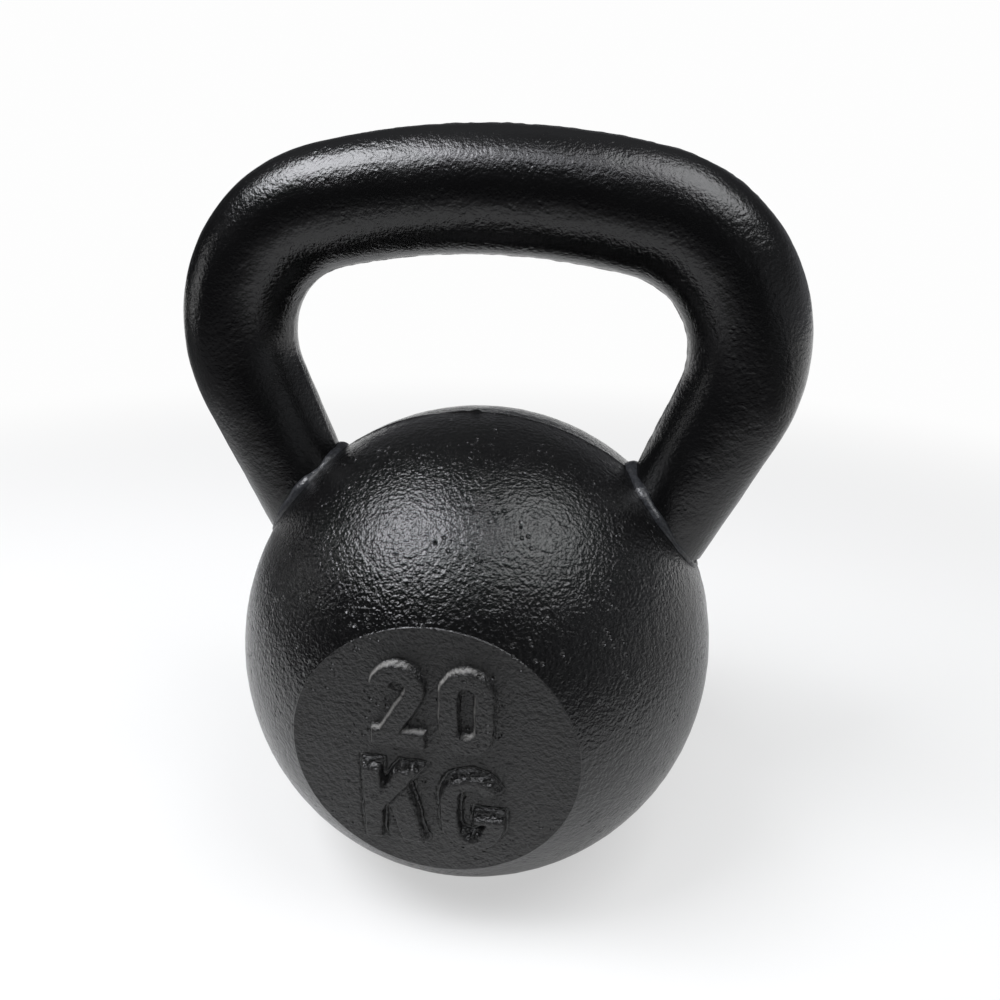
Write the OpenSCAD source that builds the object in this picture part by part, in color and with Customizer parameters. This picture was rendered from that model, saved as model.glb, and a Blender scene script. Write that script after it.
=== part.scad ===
// Cast-iron kettlebell: a round body, a bent bar for its handle, and a weld bead round each foot.
// The origin is the centre of the flat underside. +Z runs up through the grip, and the raised
// weight figures face -Y.

/* [Ball] */
// Diameter of the ball
ball_d = 169; // [145:1:205]
// Diameter of the flat underside that it stands on
base_d = 80; // [50:1:95]
// Diameter of the round flat on the front, which holds the figures
front_flat_d = 85; // [65:1:100]
// Diameter of the blank round flat on the back
back_flat_d = 85; // [65:1:100]

/* [Handle] */
// Clear height for the hand, from the top of the ball to the underside of the grip
hand_gap = 51; // [40:1:70]
// Width over the outsides of the handle
handle_w = 206; // [170:1:250]
// Diameter of the bar at the grip
bar_d = 37; // [28:0.5:45]
// Diameter of each leg where its axis meets the ball
foot_d = 34.5; // [28:0.5:45]
// Radius of the grip's slight bow, at the bar's axis
bow_r = 232; // [180:1:400]
// Radius of the corners, at the bar's axis
corner_r = 43; // [30:1:52]
// Angle from the vertical, at the ball's centre, at which each leg lands
foot_angle = 51; // [42:1:58]

/* [Weld beads] */
// Width of the bead beside the leg
bead_w = 3.5; // [2:0.5:6]
// Height of the bead over the ball
bead_h = 2.5; // [1.5:0.5:5]

/* [Figures] */
// How far the figures stand out from the flat
mark_relief = 2.2; // [1:0.1:4]
// Width of the figures' strokes
mark_stroke = 6.8; // [4:0.1:8]
// Least distance from the corners of the two rows to the flat's edge
mark_margin = 4; // [2:0.5:12]

/* [Hidden] */
$fn = 96;

ball_r = ball_d / 2;
bar_r = bar_d / 2;
foot_r = foot_d / 2;

// Each flat lies where a circle of its diameter fits on the ball
function flat_depth(flat_d) = sqrt(ball_r ^ 2 - (flat_d / 2) ^ 2);
ball_z = flat_depth(base_d);
front_y = flat_depth(front_flat_d);
back_y = flat_depth(back_flat_d);

// The bar's axis lies in the XZ plane: a bow, two corners tangent to it, and two straight legs
// tangent to the corners. Its heights are taken from the ball's centre.
axis_top = ball_r + hand_gap + bar_r;
corner_x = handle_w / 2 - bar_r - corner_r;
bow_half = asin(corner_x / (bow_r - corner_r));
corner_z = axis_top - bow_r + (bow_r - corner_r) * cos(bow_half);
foot_x = ball_r * sin(foot_angle);
foot_z = ball_r * cos(foot_angle);
foot_to_corner = norm([corner_x - foot_x, corner_z - foot_z]);
leg_lean = atan2(corner_x - foot_x, corner_z - foot_z) + asin(corner_r / foot_to_corner);
leg_l = sqrt(foot_to_corner ^ 2 - corner_r ^ 2);
leg_top = [corner_x + corner_r * cos(leg_lean), corner_z - corner_r * sin(leg_lean)];
// Each leg is drawn on past the ball's surface by the bar's diameter, and then trimmed to it
leg_drawn = leg_l + bar_d;
end_r = bar_r - (bar_r - foot_r) * leg_drawn / leg_l;
// Rings along half the bow and along a corner, and the bar's sides
bow_steps = 5;
corner_steps = 16;
bar_sides = 48;

// The figures are two rows of two. Widths and gaps are shares of the figures' height, which
// is the most that the front flat has room for.
digit_share = 0.59;
letter_share = 0.71;
beside_share = 0.1;
between_share = 0.2;
row_half_share = letter_share + beside_share / 2;
mark_h = (front_flat_d / 2 - mark_margin) / norm([row_half_share, 1 + between_share / 2]);
digit_w = digit_share * mark_h;
letter_w = letter_share * mark_h;
beside_gap = beside_share * mark_h;
between_gap = between_share * mark_h;
// The figures start inside the iron, so that they are one with it, and their strokes overlap
mark_root = 1;
lap = 0.5;

module from_ball_centre() {
    translate([0, 0, ball_z]) children();
}

// --- Ball ---

module ball() {
    color("#1d1d1f") from_ball_centre() {
        intersection() {
            sphere(ball_r);
            translate([-ball_d, -front_y, -ball_z])
                cube([2 * ball_d, front_y + back_y, ball_d + ball_z]);
        }
        translate([0, -front_y + mark_root, 0])
            rotate([90, 0, 0]) linear_extrude(mark_root + mark_relief) mark();
    }
}

// The two rows, centred on the flat
module mark() {
    translate([-beside_gap / 2 - digit_w, between_gap / 2]) two(digit_w);
    translate([beside_gap / 2, between_gap / 2]) zero(digit_w);
    translate([-beside_gap / 2 - letter_w, -between_gap / 2 - mark_h]) kay(letter_w);
    translate([beside_gap / 2, -between_gap / 2 - mark_h]) gee(letter_w);
}

// Part of a flat ring, from angle a to angle b
module ring_part(r, a, b) {
    steps = 8;
    intersection() {
        difference() {
            circle(r);
            circle(r - mark_stroke);
        }
        polygon([[0, 0], for (i = [0 : steps]) let (t = a + (b - a) * i / steps) 2 * r * [cos(t), sin(t)]]);
    }
}

// An open round shape: a ring's top from angle a to 180, its lower half, and the left side
module open_ring(w, a) {
    translate([w / 2, mark_h - w / 2]) ring_part(w / 2, a, 180);
    translate([w / 2, w / 2]) ring_part(w / 2, 180, 360);
    translate([0, w / 2 - lap]) square([mark_stroke, mark_h - w + 2 * lap]);
}

module zero(w) {
    open_ring(w, 0);
    translate([w - mark_stroke, w / 2 - lap]) square([mark_stroke, mark_h - w + 2 * lap]);
}

module gee(w) {
    bar_top = 0.52 * mark_h;
    bar_t = 0.8 * mark_stroke;
    open_ring(w, 22);
    translate([w - mark_stroke, w / 2 - lap]) square([mark_stroke, bar_top - w / 2 + lap]);
    translate([w / 2, bar_top - bar_t]) square([w / 2, bar_t]);
}

// The round top runs down into a slanted stroke, a little slimmer, and onto a foot
module two(w) {
    turn = -30;
    along = [sin(turn), -cos(turn)];
    across = [cos(turn), sin(turn)];
    top = [w / 2, mark_h - w / 2];
    outer = top + w / 2 * across - lap * along;
    inner = outer - (mark_stroke - lap / 2) * across;
    translate(top) ring_part(w / 2, turn, 180);
    intersection() {
        square([w, mark_h]);
        polygon([outer, inner, inner + 2 * mark_h * along, outer + 2 * mark_h * along]);
    }
    square([w, mark_stroke]);
}

module kay(w) {
    arm_start = 0.36 * mark_h;
    slope = (mark_h - arm_start) / (w - mark_stroke);
    cut = 1.25 * mark_stroke;
    // A point on the arm's lower edge, at distance x from the figure's left
    function on_arm(x) = [x, arm_start + slope * (x - mark_stroke)];
    knee = mark_stroke + cut / 8;
    square([mark_stroke, mark_h]);
    intersection() {
        square([w, mark_h]);
        polygon([on_arm(0), on_arm(2 * w), on_arm(2 * w) - [cut, 0], on_arm(0) + [0, cut * slope]]);
    }
    polygon([on_arm(knee) + [0, lap], on_arm(knee + 0.8 * cut) + [0, lap], [w, 0], [w - cut, 0]]);
}

// --- Handle ---

// A place on the bar's axis: its x and z, its heading below +X, and the bar's radius there
function on_arc(x, z, r, t) = [x + r * sin(t), z + r * cos(t), t, bar_r];
bow_rings = [for (i = [0 : bow_steps]) on_arc(0, axis_top - bow_r, bow_r, bow_half * i / bow_steps)];
corner_rings = [for (i = [1 : corner_steps])
    on_arc(corner_x, corner_z, corner_r, bow_half + (90 + leg_lean - bow_half) * i / corner_steps)];
leg_end = leg_top - leg_drawn * [sin(leg_lean), cos(leg_lean)];
half_axis = concat(bow_rings, corner_rings, [[leg_end.x, leg_end.y, 90 + leg_lean, end_r]]);
// The left half mirrors the right, and runs from the left foot up to the middle
left_half = [for (i = [len(half_axis) - 1 : -1 : 1]) let (p = half_axis[i]) [-p.x, p.y, -p[2], p[3]]];
axis = concat(left_half, half_axis);

function ring(p) = [for (k = [0 : bar_sides - 1]) let (a = 360 * k / bar_sides)
    [p.x + p[3] * cos(a) * sin(p[2]), p[3] * sin(a), p.y + p[3] * cos(a) * cos(p[2])]];

module bar() {
    rings = len(axis);
    last = (rings - 1) * bar_sides;
    polyhedron(
        points = [for (p = axis) each ring(p)],
        faces = concat(
            [for (i = [0 : rings - 2], k = [0 : bar_sides - 1])
                let (a = i * bar_sides + k, b = i * bar_sides + (k + 1) % bar_sides)
                [a, a + bar_sides, b + bar_sides, b]],
            [[for (k = [0 : bar_sides - 1]) k]],
            [[for (k = [bar_sides - 1 : -1 : 0]) last + k]]
        )
    );
}

module handle() {
    color("#222224") from_ball_centre() difference() {
        bar();
        sphere(ball_r);
    }
}

// One straight leg, tapering from the bar to its foot, and grown by extra all round
module leg(extra) {
    translate([leg_top.x, 0, leg_top.y]) rotate([0, 180 + leg_lean, 0])
        cylinder(h = leg_drawn, r1 = bar_r + extra, r2 = end_r + extra);
}

// --- Weld beads ---

// A collar round the right leg's foot, lying on the ball
module weld_bead() {
    color("#2a2a2c") from_ball_centre() difference() {
        intersection() {
            sphere(ball_r + bead_h);
            leg(bead_w);
        }
        sphere(ball_r);
        leg(0);
    }
}

module right_weld_bead() {
    weld_bead();
}

module left_weld_bead() {
    mirror([1, 0, 0]) weld_bead();
}

ball();
handle();
left_weld_bead();
right_weld_bead();
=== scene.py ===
import math

import bmesh
import bpy
import numpy as np
from mathutils import Matrix, Vector


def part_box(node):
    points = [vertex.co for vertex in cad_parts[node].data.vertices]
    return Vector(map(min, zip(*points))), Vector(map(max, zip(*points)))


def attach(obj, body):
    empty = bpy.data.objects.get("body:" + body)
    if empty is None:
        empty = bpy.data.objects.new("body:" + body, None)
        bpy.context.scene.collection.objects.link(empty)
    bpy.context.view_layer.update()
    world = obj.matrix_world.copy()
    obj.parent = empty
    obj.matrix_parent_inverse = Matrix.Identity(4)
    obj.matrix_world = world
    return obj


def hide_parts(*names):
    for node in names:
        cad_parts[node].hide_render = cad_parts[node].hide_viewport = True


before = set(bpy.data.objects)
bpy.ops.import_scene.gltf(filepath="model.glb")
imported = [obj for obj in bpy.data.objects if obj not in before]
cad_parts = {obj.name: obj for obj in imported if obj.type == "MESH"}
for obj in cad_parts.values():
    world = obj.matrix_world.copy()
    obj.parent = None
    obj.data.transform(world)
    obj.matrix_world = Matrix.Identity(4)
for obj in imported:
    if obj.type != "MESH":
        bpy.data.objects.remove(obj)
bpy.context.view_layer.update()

tiny = 1e-6
bpy.context.scene.view_settings.view_transform = "Standard"

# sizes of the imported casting, everything below hangs on these
ballLow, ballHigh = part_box("ball")
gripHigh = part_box("handle")[1]
ballR = (ballHigh.x - ballLow.x) / 2
ballZ = ballHigh.z - ballR
flatY = ballHigh.y
figureRelief = -ballLow.y - flatY
barR = gripHigh.y
gripTop = gripHigh.z - ballZ
gripHalf = gripHigh.x
print("frame: ball radius", round(ballR, 5), "ball centre", round(ballZ, 5), "bar", round(barR, 5))

# camera, distances in ball radii from the ball's centre
camera = {
    "azimuth": 8.386,
    "elevation": 20.819,
    "distance": 3.038,
    "aim": (0.0817, 0.0, 0.6259),
    "roll": 1.351,
    "lens": 26.0,
}


def placeCamera():
    aim = Vector((0, 0, ballZ)) + Vector(camera["aim"]) * ballR
    turn = math.radians(camera["azimuth"])
    lift = math.radians(camera["elevation"])
    back = Vector((math.sin(turn) * math.cos(lift), -math.cos(turn) * math.cos(lift), math.sin(lift)))
    lens = bpy.data.cameras.new("studioCamera")
    lens.lens = camera["lens"]
    lens.sensor_width = 36
    lens.clip_start = 0.01
    eye = bpy.data.objects.new("studioCamera", lens)
    bpy.context.collection.objects.link(eye)
    look = (-back).to_track_quat("-Z", "Y").to_matrix().to_4x4()
    roll = Matrix.Rotation(math.radians(camera["roll"]), 4, "Z")
    eye.matrix_world = Matrix.Translation(aim + back * camera["distance"] * ballR) @ look @ roll
    bpy.context.scene.camera = eye


placeCamera()


# helpers for node trees and meshes; a value may be a number or another node's socket
def addNode(tree, kind, values=None, **settings):
    node = tree.nodes.new(kind)
    for name, value in settings.items():
        setattr(node, name, value)
    for key, value in (values or {}).items():
        if isinstance(value, bpy.types.NodeSocket):
            tree.links.new(value, node.inputs[key])
        else:
            node.inputs[key].default_value = value
    return node


def calc(tree, operation, *terms, clamp=False):
    values = dict(enumerate(terms))
    return addNode(tree, "ShaderNodeMath", values, operation=operation, use_clamp=clamp).outputs[0]


def ramp(tree, value, low, high, toLow=0.0, toHigh=1.0, soft=True):
    values = {"Value": value, "From Min": low, "From Max": high, "To Min": toLow, "To Max": toHigh}
    kind = "SMOOTHSTEP" if soft else "LINEAR"
    return addNode(tree, "ShaderNodeMapRange", values, interpolation_type=kind).outputs[0]


def mixColor(tree, share, first, second):
    return addNode(tree, "ShaderNodeMix", {0: share, 6: first, 7: second}, data_type="RGBA").outputs[2]


def noise(tree, place, scale, detail=2.0, seed=0.0, roughness=0.5):
    values = {"Vector": place, "W": seed, "Scale": scale, "Detail": detail, "Roughness": roughness}
    return addNode(tree, "ShaderNodeTexNoise", values, noise_dimensions="4D").outputs[0]


# each input is given as its first value, a number or a colour, or as the kind of its socket
def newGroup(name, kind, inputs, outputs):
    tree = bpy.data.node_groups.new(name, kind)
    for label, value in inputs.items():
        if isinstance(value, str):
            tree.interface.new_socket(label, in_out="INPUT", socket_type=value)
            continue
        socketKind = "NodeSocketColor" if isinstance(value, tuple) else "NodeSocketFloat"
        socket = tree.interface.new_socket(label, in_out="INPUT", socket_type=socketKind)
        socket.default_value = value
    for label, socketKind in outputs.items():
        tree.interface.new_socket(label, in_out="OUTPUT", socket_type=socketKind)
    return tree, tree.nodes.new("NodeGroupInput").outputs, tree.nodes.new("NodeGroupOutput").inputs


def meshObject(name, points, edges, faces):
    mesh = bpy.data.meshes.new(name)
    mesh.from_pydata(points, edges, faces)
    obj = bpy.data.objects.new(name, mesh)
    bpy.context.collection.objects.link(obj)
    return obj


def setFloat(obj, name, values):
    layer = obj.data.attributes.new(name, "FLOAT", "POINT")
    layer.data.foreach_set("value", np.asarray(values, np.float32))


# runs a node tree on a source object and leaves a plain mesh piece in its place
def runTree(source, tree, inputs, name):
    modifier = source.modifiers.new("shape", "NODES")
    modifier.node_group = tree
    for item in tree.interface.items_tree:
        if item.item_type == "SOCKET" and item.in_out == "INPUT" and item.name in inputs:
            modifier[item.identifier] = inputs[item.name]
    bpy.context.view_layer.update()
    shaped = source.evaluated_get(bpy.context.evaluated_depsgraph_get())
    mesh = bpy.data.meshes.new_from_object(shaped)
    source.modifiers.remove(modifier)
    bpy.data.objects.remove(source)
    mesh.name = name
    piece = bpy.data.objects.new(name, mesh)
    bpy.context.collection.objects.link(piece)
    mesh.shade_smooth()
    print("made", name, len(mesh.polygons), "faces")
    return piece


# relief of the casting under its enamel: lumps, finer grains, and pits in patches
castRelief = {
    "mottlePerMetre": 38.0,
    "pitsPerMetre": 380.0,
    "pitEdge": 0.32,
    "pitFloor": 0.12,
    "patchesPerMetre": 90.0,
    "patchFrom": 0.53,
    "patchTo": 0.6,
    "hollowFrom": 0.56,
    "hollowTo": 0.4,
}


def castGrainGroup():
    inputs = {
        "Place": "NodeSocketVector",
        "Lumps per metre": 800.0,
        "Grains per metre": 1500.0,
        "Grain share": 0.6,
        "Pit share": 1.0,
    }
    outputs = dict.fromkeys(("Height", "Mottle", "Hollows"), "NodeSocketFloat")
    tree, given, result = newGroup("castGrain", "ShaderNodeTree", inputs, outputs)
    place = given["Place"]
    lumps = noise(tree, place, given["Lumps per metre"], detail=1.0, seed=3.0)
    grains = noise(tree, place, given["Grains per metre"], seed=8.0, roughness=0.6)
    mottle = noise(tree, place, castRelief["mottlePerMetre"], detail=3.0, seed=5.0, roughness=0.6)
    values = {"Vector": place, "Scale": castRelief["pitsPerMetre"]}
    cells = addNode(tree, "ShaderNodeTexVoronoi", values, feature="F1").outputs["Distance"]
    patches = noise(tree, place, castRelief["patchesPerMetre"], seed=9.0)
    thinned = ramp(tree, patches, castRelief["patchFrom"], castRelief["patchTo"])
    bowls = ramp(tree, cells, castRelief["pitEdge"], castRelief["pitFloor"])
    pits = calc(tree, "MULTIPLY", bowls, thinned)
    both = calc(tree, "ADD", lumps, calc(tree, "MULTIPLY", grains, given["Grain share"]))
    height = calc(tree, "SUBTRACT", both, calc(tree, "MULTIPLY", pits, given["Pit share"]))
    hollows = ramp(tree, grains, castRelief["hollowFrom"], castRelief["hollowTo"])
    for label, value in (("Height", height), ("Mottle", mottle), ("Hollows", hollows)):
        tree.links.new(value, result[label])
    return tree


# how the film wears: dust in the hollows, less of it on glossy places, and duller patches
filmWear = {
    "patchFrom": 0.35,
    "patchTo": 0.75,
    "dustOnGloss": 0.35,
    "dustOnPeaks": 0.2,
    "dustOffPatch": 0.5,
    "patchDulling": 0.08,
}


def enamelFilmGroup():
    inputs = {
        "Enamel": (0.01, 0.01, 0.01, 1.0),
        "Dust": (0.1, 0.09, 0.08, 1.0),
        "Dust share": 0.1,
        # the pale colour of the painted highlight on the digits' walls, and how much of it shows
        "Painted highlight colour": (0.21, 0.205, 0.195, 1.0),
        "Painted ledge highlight": 0.0,
        "Gloss roughness": 0.2,
        "Dull roughness": 0.5,
        "Sheen": 1.0,
        "Mottle": 0.5,
        "Hollows": 0.0,
    }
    outputs = {"Color": "NodeSocketColor", "Roughness": "NodeSocketFloat"}
    tree, given, result = newGroup("enamelFilm", "ShaderNodeTree", inputs, outputs)
    patchy = ramp(tree, given["Mottle"], filmWear["patchFrom"], filmWear["patchTo"])
    matte = ramp(tree, given["Sheen"], 0.0, 1.0, 1.0, filmWear["dustOnGloss"], soft=False)
    settled = ramp(tree, given["Hollows"], 0.0, 1.0, filmWear["dustOnPeaks"], 1.0, soft=False)
    spread = ramp(tree, patchy, 0.0, 1.0, filmWear["dustOffPatch"], 1.0, soft=False)
    dusty = calc(tree, "MULTIPLY", calc(tree, "MULTIPLY", settled, matte), spread)
    dusty = calc(tree, "MULTIPLY", dusty, given["Dust share"])
    color = mixColor(tree, dusty, given["Enamel"], given["Dust"])
    # mixes in the painted highlight on the digits' walls that face the lamps
    color = mixColor(tree, given["Painted ledge highlight"], color, given["Painted highlight colour"])
    dull, gloss = given["Dull roughness"], given["Gloss roughness"]
    base = ramp(tree, given["Sheen"], 0.0, 1.0, dull, gloss, soft=False)
    worn = calc(tree, "MULTIPLY", patchy, filmWear["patchDulling"])
    tree.links.new(color, result["Color"])
    tree.links.new(calc(tree, "ADD", base, worn, clamp=True), result["Roughness"])
    return tree


castGrain = castGrainGroup()
enamelFilm = enamelFilmGroup()


def enamelMaterial(name, look):
    material = bpy.data.materials.new(name)
    material.use_nodes = True
    tree = material.node_tree
    shader = tree.nodes["Principled BSDF"]
    grainValues = {
        "Place": tree.nodes.new("ShaderNodeTexCoord").outputs["Object"],
        "Lumps per metre": 1 / look["lumpSize"],
        "Grains per metre": 1 / look["grainSize"],
        "Grain share": look["grainShare"],
        "Pit share": look["pitShare"],
    }
    grain = addNode(tree, "ShaderNodeGroup", grainValues, node_tree=castGrain).outputs
    filmValues = {
        "Enamel": look["enamel"] + (1,),
        "Dust": look["dust"] + (1,),
        "Dust share": look["dustShare"],
        "Gloss roughness": look["gloss"],
        "Dull roughness": look["dull"],
        "Mottle": grain["Mottle"],
        "Hollows": grain["Hollows"],
    }
    film = addNode(tree, "ShaderNodeGroup", filmValues, node_tree=enamelFilm)
    height = grain["Height"]
    if look["usesSheen"]:
        sheen = addNode(tree, "ShaderNodeAttribute", attribute_name="sheen").outputs["Fac"]
        # this attribute carries the painted highlight on the digits' walls
        ledge = addNode(tree, "ShaderNodeAttribute", attribute_name="paintedLedgeHighlight").outputs["Fac"]
        tree.links.new(sheen, film.inputs["Sheen"])
        tree.links.new(ledge, film.inputs["Painted ledge highlight"])
        coarser = ramp(tree, sheen, 0.0, 1.0, look["flatBump"], 1.0, soft=False)
        height = calc(tree, "MULTIPLY", height, coarser)
    bump = addNode(tree, "ShaderNodeBump", {"Strength": 1.0, "Distance": look["bump"], "Height": height})
    tree.links.new(film.outputs["Color"], shader.inputs["Base Color"])
    tree.links.new(film.outputs["Roughness"], shader.inputs["Roughness"])
    tree.links.new(bump.outputs["Normal"], shader.inputs["Normal"])
    shader.inputs["IOR"].default_value = look["ior"]
    return material


# the cast ball: its finish, and below that its shape
ballLook = {
    "enamel": (0.004, 0.004, 0.0042),
    "dust": (0.085, 0.08, 0.072),
    "dustShare": 0.12,
    "lumpSize": 0.00125,
    "grainSize": 0.00065,
    "grainShare": 0.6,
    "pitShare": 1.3,
    "bump": 0.00036,
    "flatBump": 2.0,
    "gloss": 0.11,
    "dull": 0.38,
    "usesSheen": True,
    "ior": 1.5,
}

ballCast = {
    "frontCells": 184,      # grid across the front flat, twice that of the back
    "crowd": 0.14,          # draws the grid's lines towards the middle
    "lip": 0.0004,          # support loop beside each flat's edge
    "ringStep": 0.00142,
    "settleRings": 14,      # rings over which the columns even out
    "seamHeight": 0.00035,
    "seamWidth": 0.0009,
    "seamRings": (0.0, 0.0005, 0.001, 0.0017),      # closer rings, as distances from the seam
    "seamLevel": 0.6,       # share of the seam's full height, and how it comes and goes
    "seamWaver": 0.125,
    "seamLeast": 0.15,
    "nub": (-0.002, 0.0009, 0.0013),    # across, height and size of the stub on the seam
    "lumpHeight": 0.00016,
    "lumpSize": 0.0042,
    "grainHeight": 0.00007,
    "grainSize": 0.0014,
    "pits": 22,
    "pitDepth": 0.00035,
    "pitSize": 0.0006,
    "pitSpread": 0.9,       # share of the flat's radius that pits reach
    "flatCalm": 0.2,        # how far the skin's lumps are held back on the flats and figures
    "figureCalm": 0.4,
    "edgeCalm": 0.5,
    "seed": 20,
}

# raised weight figures: plain block shapes, shares are of the figures' height
figures = {
    "stroke": 0.0068,
    "margin": 0.004,
    "digitShare": 0.59,
    "letterShare": 0.71,
    "besideShare": 0.1,
    "betweenShare": 0.2,
    "slant": 30.0,
    "lap": 0.002,
    "opening": 22.0,
    "armStart": 0.36,
    "armWidth": 1.25,
    "kneeWidth": 0.8,
    "barTop": 0.52,
    "barShare": 0.8,
    "wall": 0.0013,         # run of a wall from the flat up to its figure's top
    "wallFoot": 0.15,       # share of the wall that lies outside the outline
    "waver": 0.0001,
    "letterWaver": 0.00022,
    "waves": (0.006, 0.006, 0.007, 0.007, 0.004, 0.0024),
}

# thick paint on the letters: it gathers below each upper edge and in a groove along it
letterPaint = {
    "ledge": 0.0021,
    "patchLevel": 1.1,
    "patchWaver": 0.6,
    "topLevel": 0.96,
    "topWaver": 0.03,
    "paintDrop": 0.6,
    "curdle": 0.24,
    "grooveShift": 0.0006,
    "grooveWidth": 0.0011,
    "grooveDepth": 0.16,
    "grooveSheen": 0.8,
}

# painted highlight on the digits' walls that face up and to the left, towards the key lamp: a pale colour
# where the lamps would light those walls
paintedLedgeHighlight = {
    "reach": 0.0002,
    "toLeft": 0.62,
    "upwards": 0.78,
    "steepFrom": 0.95,
    "steepSpan": 0.45,
    "facingFrom": 0.2,
    "facingSpan": 0.6,
}


def box2(x, z, x0, x1, z0, z1):
    return np.maximum(np.maximum(x0 - x, x - x1), np.maximum(z0 - z, z - z1))


def roundStroke(x, z, cx, z0, z1, radius, stroke):
    away = np.hypot(x - cx, z - np.clip(z, z0, z1))
    return np.abs(away - radius + stroke / 2) - stroke / 2


def convex(x, z, corners):
    away = np.full_like(x, -1.0)
    for (ax, az), (bx, bz) in zip(corners, corners[1:] + corners[:1]):
        length = math.hypot(bx - ax, bz - az)
        away = np.maximum(away, ((x - ax) * (bz - az) - (z - az) * (bx - ax)) / length)
    return away


# each figure returns how far a point is outside its strokes, less than 0 inside
def zeroShape(x, z, w, h, s):
    return roundStroke(x, z, w / 2, w / 2, h - w / 2, w / 2, s)


def twoShape(x, z, w, h, s):
    turn = math.radians(figures["slant"])
    topX, topZ = w / 2, h - w / 2
    along = (x - topX) * -math.sin(turn) + (z - topZ) * -math.cos(turn)
    across = (x - topX) * math.cos(turn) + (z - topZ) * -math.sin(turn)
    crown = np.abs(np.hypot(x - topX, z - topZ) - w / 2 + s / 2) - s / 2
    crown = np.maximum(crown, -np.maximum(z - topZ, figures["lap"] - along))
    slope = np.maximum(np.abs(across - w / 2 + s / 2) - s / 2, -along - figures["lap"])
    slope = np.maximum(slope, np.maximum(-x, -z))
    return np.minimum(np.minimum(crown, slope), box2(x, z, 0, w, 0, s))


def kayShape(x, z, w, h, s):
    start = figures["armStart"] * h
    rise = (h - start) / (w - s)
    cut = figures["armWidth"] * s
    knee = s + cut / 8
    thick = cut * rise / math.hypot(1, rise)
    over = (z - start - rise * (x - s)) / math.hypot(1, rise)
    arm = np.maximum(np.abs(over - thick / 2) - thick / 2, box2(x, z, 0, w, 0, h))
    kneeZ = start + rise * (knee - s) + figures["lap"]
    innerZ = start + rise * (knee + figures["kneeWidth"] * cut - s) + figures["lap"]
    leg = convex(x, z, [(knee, kneeZ), (w - cut, 0), (w, 0), (knee + figures["kneeWidth"] * cut, innerZ)])
    return np.minimum(np.minimum(arm, leg), box2(x, z, 0, s, 0, h))


def geeShape(x, z, w, h, s):
    top = figures["barTop"] * h
    turn = math.radians(figures["opening"])
    over = (z - h + w / 2) * math.cos(turn) - (x - w / 2) * math.sin(turn)
    gap = np.maximum(np.maximum(w / 2 - x, top - z), over)
    ring = np.maximum(roundStroke(x, z, w / 2, w / 2, h - w / 2, w / 2, s), -gap)
    return np.minimum(ring, box2(x, z, w / 2, w, top - figures["barShare"] * s, top))


def smooth(value):
    value = np.clip(value, 0, 1)
    return value * value * (3 - 2 * value)


# soft random field over the flat: a few crossed waves
def makeWaves(size, rng, count=11):
    rows = [rng.uniform((0, 0, 0.6), (math.tau, math.tau, 1.5)) for _ in range(count)]

    def field(x, z):
        total = np.zeros_like(x)
        for turn, phase, pace in rows:
            total += np.sin((x * math.cos(turn) + z * math.sin(turn)) * math.tau * pace / size + phase)
        return total / math.sqrt(count)
    return field


# returns a function that gives the figures' height over the flat, as a share of their relief,
# and where thick paint has gathered on the letters
def makeFigures(flatR, rng):
    rowHalf = figures["letterShare"] + figures["besideShare"] / 2
    h = (flatR - figures["margin"]) / math.hypot(rowHalf, 1 + figures["betweenShare"] / 2)
    s = figures["stroke"]
    wall, foot = figures["wall"], figures["wallFoot"]
    beside, between = figures["besideShare"] * h, figures["betweenShare"] * h
    digitW, letterW = figures["digitShare"] * h, figures["letterShare"] * h
    upper, lower = between / 2, -between / 2 - h
    fields = [makeWaves(size, rng) for size in figures["waves"]]
    digitX, digitZ, letterX, letterZ, patches, curds = fields

    def digits(x, z):
        px, pz = x + figures["waver"] * digitX(x, z), z + figures["waver"] * digitZ(x, z)
        two = twoShape(px + beside / 2 + digitW, pz - upper, digitW, h, s)
        return np.minimum(two, zeroShape(px - beside / 2, pz - upper, digitW, h, s))

    def letters(x, z):
        px, pz = x + figures["letterWaver"] * letterX(x, z), z + figures["letterWaver"] * letterZ(x, z)
        kay = kayShape(px + beside / 2 + letterW, pz - lower, letterW, h, s)
        return np.minimum(kay, geeShape(px - beside / 2, pz - lower, letterW, h, s))

    def field(x, z):
        paint = letterPaint
        plain = smooth(foot - digits(x, z) / wall)
        rough = smooth(foot - letters(x, z) / wall)
        ledge = smooth(0.5 + letters(x, z + paint["ledge"]) / paint["ledge"])
        gathered = rough * ledge * smooth(paint["patchLevel"] + paint["patchWaver"] * patches(x, z))
        nearEdge = np.abs(letters(x, z - paint["grooveShift"])) / paint["grooveWidth"]
        groove = (1 - rough) * smooth(1 - nearEdge)
        drop = (paint["paintDrop"] + paint["curdle"] * curds(x, z)) * gathered
        rough = rough * (paint["topLevel"] + paint["topWaver"] * patches(x, z)) - drop
        height = np.where(z > 0, plain, rough - paint["grooveDepth"] * groove)
        return height, np.maximum(gathered, paint["grooveSheen"] * groove * (z < 0))
    return field


# mask of the painted highlight: the steep walls of the digits that face up and to the left, towards the
# lamps
def paintedHighlightOn(field, x, z):
    reach = paintedLedgeHighlight["reach"]
    perMetre = figures["wall"] / (2 * reach)
    slopeX = (field(x + reach, z)[0] - field(x - reach, z)[0]) * perMetre
    slopeZ = (field(x, z + reach)[0] - field(x, z - reach)[0]) * perMetre
    steep = np.hypot(slopeX, slopeZ)
    facing = (paintedLedgeHighlight["toLeft"] * slopeX - paintedLedgeHighlight["upwards"] * slopeZ) / np.maximum(steep, tiny)
    onWall = smooth((steep - paintedLedgeHighlight["steepFrom"]) / paintedLedgeHighlight["steepSpan"])
    return onWall * smooth((facing - paintedLedgeHighlight["facingFrom"]) / paintedLedgeHighlight["facingSpan"]) * (z > 0)


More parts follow.
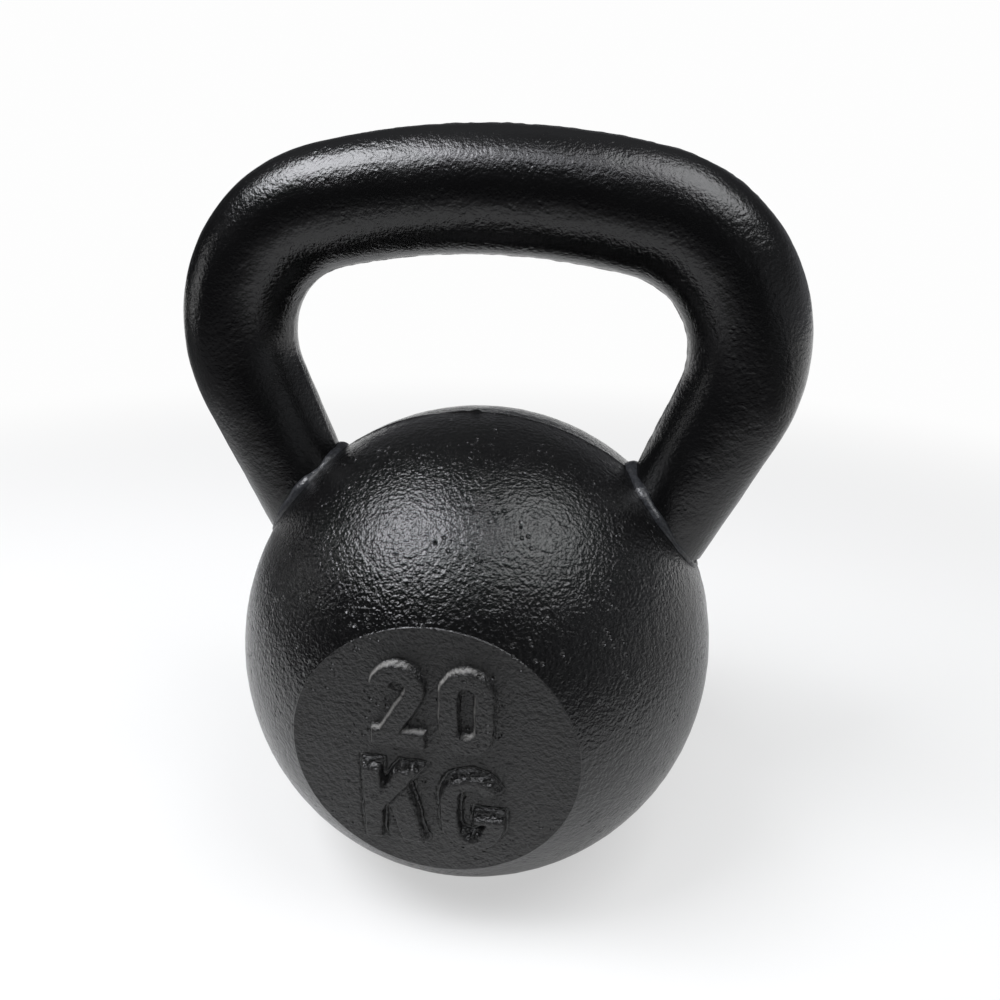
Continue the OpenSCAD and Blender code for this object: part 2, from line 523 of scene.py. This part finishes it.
def gridOnDisc(cells, radius, crowd, lip):
    edge = 1 - lip / radius
    lines = np.linspace(-1, 1, cells - 1)
    lines = edge * (lines * (1 - crowd) + crowd * lines ** 3)
    lines = np.concatenate([[-1.0], lines, [1.0]])
    u, v = np.meshgrid(lines, lines)
    x, z = radius * u * np.sqrt(1 - v * v / 2), radius * v * np.sqrt(1 - u * u / 2)
    return x.ravel(), z.ravel()


def gridFaces(start, cells, toBack):
    n = cells + 1
    corners = (0, n, n + 1, 1) if toBack else (0, 1, n + 1, n)
    firsts = [start + row * n + i for row in range(cells) for i in range(cells)]
    return [tuple(first + corner for corner in corners) for first in firsts]


# indices round a grid's border, anticlockwise from its first corner
def borderLoop(cells):
    n = cells + 1
    bottom = [i for i in range(cells)]
    right = [i * n + cells for i in range(cells)]
    top = [cells * n + cells - i for i in range(cells)]
    left = [(cells - i) * n for i in range(cells)]
    return np.array(bottom + right + top + left)


# faces from one ring to the next, which has as many points or half as many
def ringFaces(last, current):
    faces = []
    for j, here in enumerate(current):
        there = current[(j + 1) % len(current)]
        if len(last) == len(current):
            faces.append((last[j], here, there, last[(j + 1) % len(last)]))
        else:
            a, b, c = last[2 * j], last[2 * j + 1], last[(2 * j + 2) % len(last)]
            faces += [(a, here, b), (b, here, there), (b, there, c)]
    return faces


# turns of a border's points about the flat's centre, which start at its lower left corner
firstTurn = -0.75 * math.pi


def turnsOf(x, z):
    turns = np.unwrap(np.arctan2(z, x))
    return turns - turns[0] + firstTurn


# depths of a few pits scattered over the front flat
def pitDepths(x, z, flatR, rng):
    depths = np.zeros_like(x)
    for _ in range(ballCast["pits"]):
        turn = rng.uniform(0, math.tau)
        reach = flatR * ballCast["pitSpread"] * math.sqrt(rng.uniform(0.05, 1))
        size = ballCast["pitSize"] * rng.uniform(0.6, 1.6)
        away = np.hypot(x - reach * math.cos(turn), z - reach * math.sin(turn))
        depths += ballCast["pitDepth"] * rng.uniform(0.5, 1) * np.exp(-(away / size) ** 2)
    return depths


# distances of the rings from the seam, along the ball, from the front flat to the back flat
def ringArcs(flatR):
    near = list(ballCast["seamRings"])
    limit = ballR * (math.pi / 2 - math.asin(flatR / ballR)) - ballCast["lip"]
    count = round((limit - near[-1]) / ballCast["ringStep"])
    outer = list(np.linspace(near[-1], limit, count + 1)[1:])
    return [-arc for arc in reversed(near[1:] + outer)] + near + outer


# one ring, with the seam's ragged ridge and the stub on its top
def seamedRing(arc, turns, waves):
    tilt = arc / ballR
    waver = sum(np.sin(turns * (5 + 7 * k) + wave) for k, wave in enumerate(waves))
    ragged = np.clip(ballCast["seamLevel"] + ballCast["seamWaver"] * waver, ballCast["seamLeast"], 1)
    seam = ballCast["seamHeight"] * ragged * math.exp(-(arc / ballCast["seamWidth"]) ** 2)
    x, z = ballR * math.cos(tilt) * np.cos(turns), ballR * math.cos(tilt) * np.sin(turns)
    nubX, nubHeight, nubSize = ballCast["nub"]
    nub = nubHeight * np.exp(-((x - nubX) ** 2 + arc ** 2) / nubSize ** 2) * (z > 0)
    grow = 1 + (seam + nub) / ballR
    return np.stack([x * grow, np.full_like(x, ballR * math.sin(tilt)), z * grow], 1)


def buildBallMesh():
    rng = np.random.default_rng(ballCast["seed"])
    flatR = math.sqrt(ballR ** 2 - flatY ** 2)
    cells = ballCast["frontCells"]
    half = cells // 2
    parts = {"points": [], "sheen": [], "calm": [], "paintedLedgeHighlight": []}

    # the last argument is the mask of the painted highlight on the digits' walls
    def addPart(points, sheen, calm, dust):
        start = sum(len(part) for part in parts["points"])
        for name, values in zip(parts, (points, sheen, calm, dust)):
            parts[name].append(values if np.ndim(values) else np.full(len(points), values))
        return np.arange(start, start + len(points))

    # front flat and figures
    x, z = gridOnDisc(cells, flatR, ballCast["crowd"], ballCast["lip"])
    loop = borderLoop(cells)
    figureField = makeFigures(flatR, rng)
    rise, gathered = figureField(x, z)
    y = -flatY - figureRelief * rise + pitDepths(x, z, flatR, rng)
    y[loop] = -flatY
    calm = ballCast["flatCalm"] + ballCast["figureCalm"] * np.clip(np.abs(rise), 0, 1)
    # the last value is the mask of the painted highlight on the digits' walls
    addPart(np.stack([x, y, z], 1), np.maximum(0.0, gathered), calm, paintedHighlightOn(figureField, x, z))
    faces = gridFaces(0, cells, False)

    # rings from flat to flat: they start at the front border's turns, even out, and end at the back's
    backX, backZ = gridOnDisc(half, flatR, 0.0, ballCast["lip"])
    backLoop = borderLoop(half)
    frontTurns = turnsOf(x[loop], z[loop])
    backTurns = turnsOf(backX[backLoop], backZ[backLoop])
    evenTurns = firstTurn + np.arange(4 * half) * math.tau / (4 * half)
    arcs = ringArcs(flatR)
    waves = rng.uniform(0, math.tau, 6)
    last = loop
    for index, arc in enumerate(arcs):
        early = smooth(1 - index / ballCast["settleRings"])
        late = smooth(1 - (len(arcs) - 1 - index) / ballCast["settleRings"])
        turns = evenTurns + early * (frontTurns[::2] - evenTurns) + late * (backTurns - evenTurns)
        if index == 0:
            turns = frontTurns
        ring = seamedRing(arc, turns, waves)
        current = addPart(ring, 1.0, ballCast["edgeCalm"] if index < 2 else 0.0, 0.0)
        faces += ringFaces(last, current)
        last = current

    # the plain back flat
    back = np.stack([backX, np.full_like(backX, flatY), backZ], 1)
    backIndices = addPart(back, 0.0, ballCast["edgeCalm"], 0.0)
    faces += gridFaces(backIndices[0], half, True)
    faces += ringFaces(last, backIndices[backLoop])

    points = np.concatenate(parts["points"])
    points[:, 2] += ballZ
    faces = [tuple(int(i) for i in face) for face in faces]
    obj = meshObject("ballBlank", points.tolist(), [], faces)
    # the third attribute is the mask of the painted highlight on the digits' walls
    for name in ("sheen", "calm", "paintedLedgeHighlight"):
        setFloat(obj, name, np.concatenate(parts[name]))
    return obj


noiseMiddle = 0.55      # level of the noise that leaves the surface where it is


# the last two nodes of every tree
def paintAll(tree, shape, enamel):
    real = addNode(tree, "GeometryNodeRealizeInstances", {"Geometry": shape}).outputs[0]
    values = {"Geometry": real, "Material": enamel}
    return addNode(tree, "GeometryNodeSetMaterial", values).outputs[0]


# skin of the casting: lumps and grain pushed along the normals, less where "calm" is high
def castSkinTree():
    inputs = {
        "Geometry": "NodeSocketGeometry",
        "Lump height": 0.0002,
        "Lump size": 0.004,
        "Grain height": 0.00005,
        "Grain size": 0.0015,
        "Seed": 1.0,
        "Enamel": "NodeSocketMaterial",
    }
    outputs = {"Geometry": "NodeSocketGeometry"}
    tree, given, result = newGroup("castSkin", "GeometryNodeTree", inputs, outputs)
    place = tree.nodes.new("GeometryNodeInputPosition").outputs[0]
    normal = tree.nodes.new("GeometryNodeInputNormal").outputs[0]
    calm = addNode(tree, "GeometryNodeInputNamedAttribute", {"Name": "calm"}, data_type="FLOAT").outputs[0]
    lumpScale = calc(tree, "DIVIDE", 1.0, given["Lump size"])
    grainScale = calc(tree, "DIVIDE", 1.0, given["Grain size"])
    lumps = noise(tree, place, lumpScale, seed=given["Seed"])
    grains = noise(tree, place, grainScale, detail=1.0, seed=given["Seed"])
    lumpPush = calc(tree, "MULTIPLY", calc(tree, "SUBTRACT", lumps, noiseMiddle), given["Lump height"])
    grainPush = calc(tree, "MULTIPLY", calc(tree, "SUBTRACT", grains, noiseMiddle), given["Grain height"])
    # noise strays half a unit from its middle, so twice the sum is the full height
    push = calc(tree, "MULTIPLY", calc(tree, "ADD", lumpPush, grainPush), 2.0)
    push = calc(tree, "MULTIPLY", push, calc(tree, "SUBTRACT", 1.0, calm))
    offset = addNode(tree, "ShaderNodeVectorMath", {0: normal, "Scale": push}, operation="SCALE").outputs[0]
    values = {"Geometry": given["Geometry"], "Offset": offset}
    moved = addNode(tree, "GeometryNodeSetPosition", values).outputs[0]
    tree.links.new(paintAll(tree, moved, given["Enamel"]), result["Geometry"])
    return tree


# cuts the underside level and leaves it closed
def levelBase(piece):
    shape = bmesh.new()
    shape.from_mesh(piece.data)
    everything = shape.verts[:] + shape.edges[:] + shape.faces[:]
    bmesh.ops.bisect_plane(shape, geom=everything, dist=tiny, plane_co=(0, 0, 0), plane_no=(0, 0, 1))
    for vert in shape.verts:
        vert.co.z = max(vert.co.z, 0.0)
    for face in shape.faces:
        if all(vert.co.z < tiny for vert in face.verts):
            face.smooth = False
    bmesh.ops.recalc_face_normals(shape, faces=shape.faces[:])
    shape.to_mesh(piece.data)
    shape.free()


castSkin = castSkinTree()
ballEnamel = enamelMaterial("ballEnamel", ballLook)
ballInputs = {
    "Lump height": ballCast["lumpHeight"],
    "Lump size": ballCast["lumpSize"],
    "Grain height": ballCast["grainHeight"],
    "Grain size": ballCast["grainSize"],
    "Seed": 1.0,
    "Enamel": ballEnamel,
}
castBall = runTree(buildBallMesh(), castSkin, ballInputs, "cast_ball")
levelBase(castBall)
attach(castBall, "root")
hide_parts("ball")


# the bent handle
handleLook = {
    "enamel": (0.004, 0.004, 0.0042),
    "dust": (0.06, 0.056, 0.05),
    "dustShare": 0.03,
    "lumpSize": 0.00115,
    "grainSize": 0.0005,
    "grainShare": 0.5,
    "pitShare": 0.4,
    "bump": 0.00018,
    "gloss": 0.17,
    "dull": 0.5,
    "usesSheen": False,
    "ior": 1.5,
}

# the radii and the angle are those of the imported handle
handleBar = {
    "bowR": 0.232,
    "cornerR": 0.043,
    "footR": 0.01725,
    "footAngle": 51.0,
    "sink": 0.008,          # how far each leg runs on inside the ball
    "step": 0.00085,
    "sides": 144,
    "crowd": 0.4,           # draws the sides' lines towards the seam
    "seamHeight": 0.0003,
    "seamWidth": 0.0009,
    "lumpHeight": 0.00022,
    "lumpSize": 0.009,
    "grainHeight": 0.00005,
    "grainSize": 0.0025,
}


# the bar's axis on the right side, from the ball's centre: where its arcs and leg meet
def barLayout():
    bowR, cornerR = handleBar["bowR"], handleBar["cornerR"]
    top = gripTop - barR
    cornerX = gripHalf - barR - cornerR
    bowHalf = math.asin(cornerX / (bowR - cornerR))
    cornerZ = top - bowR + (bowR - cornerR) * math.cos(bowHalf)
    landing = math.radians(handleBar["footAngle"])
    gapX, gapZ = cornerX - ballR * math.sin(landing), cornerZ - ballR * math.cos(landing)
    reach = math.hypot(gapX, gapZ)
    lean = math.atan2(gapX, gapZ) + math.asin(cornerR / reach)
    return {
        "top": top,
        "bowHalf": bowHalf,
        "corner": (cornerX, cornerZ),
        "lean": lean,
        "legLength": math.sqrt(reach ** 2 - cornerR ** 2),
        "legTop": (cornerX + cornerR * math.cos(lean), cornerZ - cornerR * math.sin(lean)),
    }


bar = barLayout()


def radiusDown(leg, along):
    return barR - (barR - handleBar["footR"]) * along / leg


def axisPoints():
    step = handleBar["step"]
    bowR, cornerR = handleBar["bowR"], handleBar["cornerR"]
    rows = []
    for turn in np.linspace(0, bar["bowHalf"], round(bowR * bar["bowHalf"] / step) + 1):
        rows.append((bowR * math.sin(turn), bar["top"] - bowR + bowR * math.cos(turn), barR))
    ends = bar["bowHalf"], math.pi / 2 + bar["lean"]
    for turn in np.linspace(*ends, round(cornerR * (ends[1] - ends[0]) / step) + 1)[1:]:
        x, z = bar["corner"]
        rows.append((x + cornerR * math.sin(turn), z + cornerR * math.cos(turn), barR))
    leg = bar["legLength"]
    for along in np.linspace(0, leg + handleBar["sink"], round((leg + handleBar["sink"]) / step) + 1)[1:]:
        x, z = bar["legTop"]
        x, z = x - along * math.sin(bar["lean"]), z - along * math.cos(bar["lean"])
        rows.append((x, z, radiusDown(leg, along)))
    left = [(-x, z, r) for x, z, r in reversed(rows[1:])]
    return left + rows


# where the seam's ridge on the handle thins out
seamRagged = {
    "wavesPerMetre": 260.0,
    "from": 0.35,
    "to": 0.6,
    "least": 0.35,
}


# sweeps a round section along an axis, with a thin seam ridge in its plane
def barSweepTree():
    inputs = {
        "Axis": "NodeSocketGeometry",
        "Sides": "NodeSocketInt",
        "Crowd": 0.4,
        "Seam height": 0.0003,
        "Seam width": 0.0009,
        "Lump height": 0.0002,
        "Lump size": 0.009,
        "Grain height": 0.00005,
        "Grain size": 0.0025,
        "Seed": 1.0,
        "Enamel": "NodeSocketMaterial",
    }
    outputs = {"Geometry": "NodeSocketGeometry"}
    tree, given, result = newGroup("barSweep", "GeometryNodeTree", inputs, outputs)
    curve = addNode(tree, "GeometryNodeMeshToCurve", {0: given["Axis"]}).outputs[0]
    girth = addNode(tree, "GeometryNodeInputNamedAttribute", {"Name": "girth"}, data_type="FLOAT").outputs[0]
    circleValues = {"Resolution": given["Sides"], "Radius": 1.0}
    circle = addNode(tree, "GeometryNodeCurvePrimitiveCircle", circleValues)
    place = tree.nodes.new("GeometryNodeInputPosition").outputs[0]
    parts = addNode(tree, "ShaderNodeSeparateXYZ", {0: place}).outputs
    turn = calc(tree, "ARCTAN2", parts["Y"], parts["X"])
    twice = calc(tree, "SINE", calc(tree, "MULTIPLY", turn, 2.0))
    bent = calc(tree, "MULTIPLY", calc(tree, "MULTIPLY", given["Crowd"], 0.5), twice)
    turn = calc(tree, "SUBTRACT", turn, bent)
    values = {0: calc(tree, "COSINE", turn), 1: calc(tree, "SINE", turn)}
    warped = addNode(tree, "ShaderNodeCombineXYZ", values).outputs[0]
    section = {"Geometry": circle.outputs[0], "Position": warped}
    profile = addNode(tree, "GeometryNodeSetPosition", section).outputs[0]
    sweep = {"Curve": curve, "Profile Curve": profile, "Scale": girth, "Fill Caps": True}
    swept = addNode(tree, "GeometryNodeCurveToMesh", sweep).outputs[0]
    across = calc(tree, "ABSOLUTE", parts["Y"])
    ridge = ramp(tree, across, given["Seam width"], 0.0)
    waves = noise(tree, place, seamRagged["wavesPerMetre"], seed=4.0)
    ragged = ramp(tree, waves, seamRagged["from"], seamRagged["to"], seamRagged["least"], 1.0)
    push = calc(tree, "MULTIPLY", calc(tree, "MULTIPLY", ridge, ragged), given["Seam height"])
    normal = tree.nodes.new("GeometryNodeInputNormal").outputs[0]
    offset = addNode(tree, "ShaderNodeVectorMath", {0: normal, "Scale": push}, operation="SCALE").outputs[0]
    seamed = addNode(tree, "GeometryNodeSetPosition", {"Geometry": swept, "Offset": offset}).outputs[0]
    labels = ("Lump height", "Lump size", "Grain height", "Grain size", "Seed")
    skinValues = {"Geometry": seamed, **{label: given[label] for label in labels}}
    skin = addNode(tree, "GeometryNodeGroup", skinValues, node_tree=castSkin).outputs[0]
    tree.links.new(paintAll(tree, skin, given["Enamel"]), result["Geometry"])
    return tree


def axisObject(name, rows, closed=False):
    count = len(rows)
    edges = [(i, i + 1) for i in range(count - 1)]
    if closed:
        edges.append((count - 1, 0))
    obj = meshObject(name, [tuple(row[:3]) for row in rows], edges, [])
    setFloat(obj, "girth", [row[3] for row in rows])
    return obj


# turns every face of a closed piece outwards
def faceOut(piece):
    shape = bmesh.new()
    shape.from_mesh(piece.data)
    bmesh.ops.remove_doubles(shape, verts=shape.verts[:], dist=tiny)
    bmesh.ops.recalc_face_normals(shape, faces=shape.faces[:])
    shape.to_mesh(piece.data)
    shape.free()


barSweep = barSweepTree()
handleEnamel = enamelMaterial("handleEnamel", handleLook)
handleInputs = {
    "Sides": handleBar["sides"],
    "Crowd": handleBar["crowd"],
    "Seam height": handleBar["seamHeight"],
    "Seam width": handleBar["seamWidth"],
    "Lump height": handleBar["lumpHeight"],
    "Lump size": handleBar["lumpSize"],
    "Grain height": handleBar["grainHeight"],
    "Grain size": handleBar["grainSize"],
    "Seed": 2.0,
    "Enamel": handleEnamel,
}
handleAxis = axisObject("handleAxis", [(x, 0.0, z + ballZ, r) for x, z, r in axisPoints()])
bentHandle = runTree(handleAxis, barSweep, handleInputs, "bent_handle")
faceOut(bentHandle)
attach(bentHandle, "root")
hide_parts("handle")


# the weld bead round each foot
beadLook = {
    "enamel": (0.012, 0.0125, 0.014),
    # the pale bluish dust colour, at half share, is partly thin grey paint and partly a painted highlight:
    # it lightens the bead towards the bright strip the lamps make along the foot
    "dust": (0.2, 0.21, 0.235),
    "dustShare": 0.5,
    "lumpSize": 0.0009,
    "grainSize": 0.0006,
    "grainShare": 0.5,
    "pitShare": 0.2,
    "bump": 0.00015,
    "gloss": 0.26,
    "dull": 0.5,
    "usesSheen": False,
    "ior": 1.5,
}

weldBead = {
    "thick": 0.0026,        # on the side of the hand window
    "thin": 0.0008,         # on the outer side
    "step": 0.0005,
    "ripple": 0.012,
    "ripplePitch": 0.0024,
    "waver": 0.26,
    "waverTurns": (2, 3, 5, 9),
    "swell": 0.75,          # how quickly it thickens towards the window
    "sides": 20,
    "lumpHeight": 0.0004,
    "lumpSize": 0.0035,
    "grainHeight": 0.00004,
    "grainSize": 0.0015,
    "seed": 7,
}


# where the leg's cone meets the ball, all the way round the foot
def beadPoints(side, rng):
    lean, leg = bar["lean"], bar["legLength"]
    count = round(math.tau * handleBar["footR"] / weldBead["step"])
    turns = np.arange(count) * math.tau / count
    down = np.array([-math.sin(lean), 0, -math.cos(lean)])
    outward = np.array([math.cos(lean), 0, -math.sin(lean)])
    start = np.array([bar["legTop"][0], 0, bar["legTop"][1]])

    def spot(along):
        radius = radiusDown(leg, along)[:, None]
        ring = np.cos(turns)[:, None] * outward + np.sin(turns)[:, None] * np.array([0, 1.0, 0])
        return start + along[:, None] * down + radius * ring

    # halve the stretch of leg that holds each meeting point, until it is a point
    near, far = np.full(count, 0.3 * leg), np.full(count, 2.2 * leg)
    for _ in range(40):
        middle = (near + far) / 2
        outside = np.linalg.norm(spot(middle), axis=1) > ballR
        near, far = np.where(outside, middle, near), np.where(outside, far, middle)
    places = spot((near + far) / 2)
    inner = smooth(0.5 - weldBead["swell"] * np.cos(turns))
    girth = weldBead["thin"] + (weldBead["thick"] - weldBead["thin"]) * inner
    waver = sum(np.sin(turns * k + rng.uniform(0, math.tau)) for k in weldBead["waverTurns"]) / 2
    ripples = round(math.tau * handleBar["footR"] / weldBead["ripplePitch"])
    girth = girth * (1 + weldBead["waver"] * waver + weldBead["ripple"] * np.sin(turns * ripples))
    return [(side * x, y, z + ballZ, g) for (x, y, z), g in zip(places, girth)]


beadEnamel = enamelMaterial("beadEnamel", beadLook)
beadInputs = {
    "Sides": weldBead["sides"],
    "Crowd": 0.0,
    "Seam height": 0.0,
    "Seam width": 0.001,
    "Lump height": weldBead["lumpHeight"],
    "Lump size": weldBead["lumpSize"],
    "Grain height": weldBead["grainHeight"],
    "Grain size": weldBead["grainSize"],
    "Enamel": beadEnamel,
}
beadRng = np.random.default_rng(weldBead["seed"])
for beadName, side in (("left_weld_bead", -1), ("right_weld_bead", 1)):
    beadAxis = axisObject(beadName + "Axis", beadPoints(side, beadRng), closed=True)
    beadInputs["Seed"] = 3.0 + side
    bead = runTree(beadAxis, barSweep, beadInputs, beadName.replace("weld", "foot"))
    faceOut(bead)
    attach(bead, "root")
    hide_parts(beadName)


# pale floor, dim room and soft lamps; a glow is a share of full white
studio = {
    "floorHalf": 8.0,
    "floorColor": (0.94, 0.94, 0.925, 1),
    "floorRoughness": 0.9,
    "floorSpecular": 0.2,
    "cameraWhite": 0.985,
    "nearLift": 0.55,       # share of the floor's own glow by the object, and far from it
    "farLift": 1.0,
    "liftFrom": 0.3,
    "liftTo": 0.9,
    "mirrorLift": 0.3,      # the floor as the enamel mirrors it, pale close by and behind
    "mirrorFrom": 0.24,
    "mirrorTo": 0.46,
    "mirrorNear": 0.8,
    "mirrorFar": (0.16, 0.16, 0.16, 1),
    "behindTurn": 0.45,
    "behindTo": 0.8,
    "roomColor": (0.93, 0.95, 1.0, 1),
    "dark": 0.012,
    "zenith": 0.14,
    "zenithSpan": (0.35, 0.95),
    "rightWall": 0.36,
    "rightSpan": (0.35, 0.95),
    "backWall": 0.2,
    "backSpan": (0.55, 1.0),
    "wallFade": (0.6, 0.1),     # walls fade out towards this height, and are full at this one
}

lamps = {
    "leftPanel": {
        "place": (-0.5, -0.26, 0.95),
        "size": (0.5, 0.5),
        "energy": 9.4,
        "color": (0.95, 0.96, 1.0),
    },
    "rightPanel": {
        "place": (0.42, -0.16, 0.95),
        "size": (0.56, 0.56),
        "energy": 4.6,
        "color": (0.97, 0.98, 1.0),
    },
    "frontPanel": {
        "place": (-0.14, -0.42, 0.95),
        "size": (0.4, 0.3),
        "energy": 1.5,
        "color": (0.93, 0.95, 1.0),
    },
    "lowStrip": {
        "place": (-0.62, -0.06, 0.25),
        "size": (0.08, 0.2),
        "energy": 0.12,
        "color": (1.0, 1.0, 1.0),
    },
}


def buildFloor():
    h = studio["floorHalf"]
    floor = meshObject("floor", [(-h, -h, 0), (h, -h, 0), (h, h, 0), (-h, h, 0)], [], [(0, 1, 2, 3)])
    material = bpy.data.materials.new("studioFloor")
    material.use_nodes = True
    tree = material.node_tree
    shader = tree.nodes["Principled BSDF"]
    shader.inputs["Roughness"].default_value = studio["floorRoughness"]
    shader.inputs["Specular IOR Level"].default_value = studio["floorSpecular"]
    glow = addNode(tree, "ShaderNodeEmission", {"Color": (1, 1, 1, 1), "Strength": studio["cameraWhite"]})
    place = tree.nodes.new("ShaderNodeTexCoord").outputs["Object"]
    away = addNode(tree, "ShaderNodeVectorMath", {0: place}, operation="LENGTH").outputs["Value"]
    shown = ramp(tree, away, studio["liftFrom"], studio["liftTo"], studio["nearLift"], studio["farLift"])
    parts = addNode(tree, "ShaderNodeSeparateXYZ", {0: place}).outputs
    behind = calc(tree, "ADD", parts["Y"], calc(tree, "MULTIPLY", parts["X"], studio["behindTurn"]))
    far = ramp(tree, behind, 0.0, studio["behindTo"], 0.0, studio["farLift"])
    close = ramp(tree, away, studio["mirrorFrom"], studio["mirrorTo"], studio["mirrorNear"], 0.0)
    mirrored = calc(tree, "MAXIMUM", far, calc(tree, "MULTIPLY", close, studio["mirrorLift"]))
    seen = tree.nodes.new("ShaderNodeLightPath").outputs["Is Camera Ray"]
    share = ramp(tree, seen, 0.0, 1.0, mirrored, shown, soft=False)
    lit = calc(tree, "MAXIMUM", seen, close)
    paint = mixColor(tree, lit, studio["mirrorFar"], studio["floorColor"])
    tree.links.new(paint, shader.inputs["Base Color"])
    mixed = addNode(tree, "ShaderNodeMixShader", {0: share, 1: shader.outputs[0], 2: glow.outputs[0]})
    tree.links.new(mixed.outputs[0], tree.nodes["Material Output"].inputs["Surface"])
    floor.data.materials.append(material)


def buildWorld():
    world = bpy.data.worlds.new("studioWorld")
    bpy.context.scene.world = world
    world.use_nodes = True
    tree = world.node_tree
    room = tree.nodes["Background"]
    way = tree.nodes.new("ShaderNodeTexCoord").outputs["Generated"]
    parts = addNode(tree, "ShaderNodeSeparateXYZ", {0: way}).outputs
    above = ramp(tree, parts["Z"], *studio["zenithSpan"], studio["dark"], studio["zenith"])
    toRight = ramp(tree, parts["X"], *studio["rightSpan"], 0.0, studio["rightWall"])
    toBack = ramp(tree, parts["Y"], *studio["backSpan"], 0.0, studio["backWall"])
    low = ramp(tree, parts["Z"], *studio["wallFade"])
    sides = calc(tree, "MULTIPLY", calc(tree, "ADD", toRight, toBack), low)
    tree.links.new(calc(tree, "ADD", above, sides), room.inputs["Strength"])
    room.inputs["Color"].default_value = studio["roomColor"]
    pale = addNode(tree, "ShaderNodeBackground", {"Color": (1, 1, 1, 1), "Strength": studio["cameraWhite"]})
    seen = tree.nodes.new("ShaderNodeLightPath").outputs["Is Camera Ray"]
    mixed = addNode(tree, "ShaderNodeMixShader", {0: seen, 1: room.outputs[0], 2: pale.outputs[0]})
    tree.links.new(mixed.outputs[0], tree.nodes["World Output"].inputs["Surface"])


def hangLamp(name, lamp):
    light = bpy.data.lights.new(name, "AREA")
    light.shape = "RECTANGLE"
    light.size, light.size_y = lamp["size"]
    light.energy = lamp["energy"]
    light.color = lamp["color"]
    obj = bpy.data.objects.new(name, light)
    bpy.context.collection.objects.link(obj)
    place = Vector(lamp["place"])
    aim = Vector((0, 0, ballZ)) - place
    obj.matrix_world = Matrix.Translation(place) @ aim.to_track_quat("-Z", "Y").to_matrix().to_4x4()


buildFloor()
buildWorld()
for lampName, lamp in lamps.items():
    hangLamp(lampName, lamp)
print("studio: floor, world and", len(lamps), "lamps")
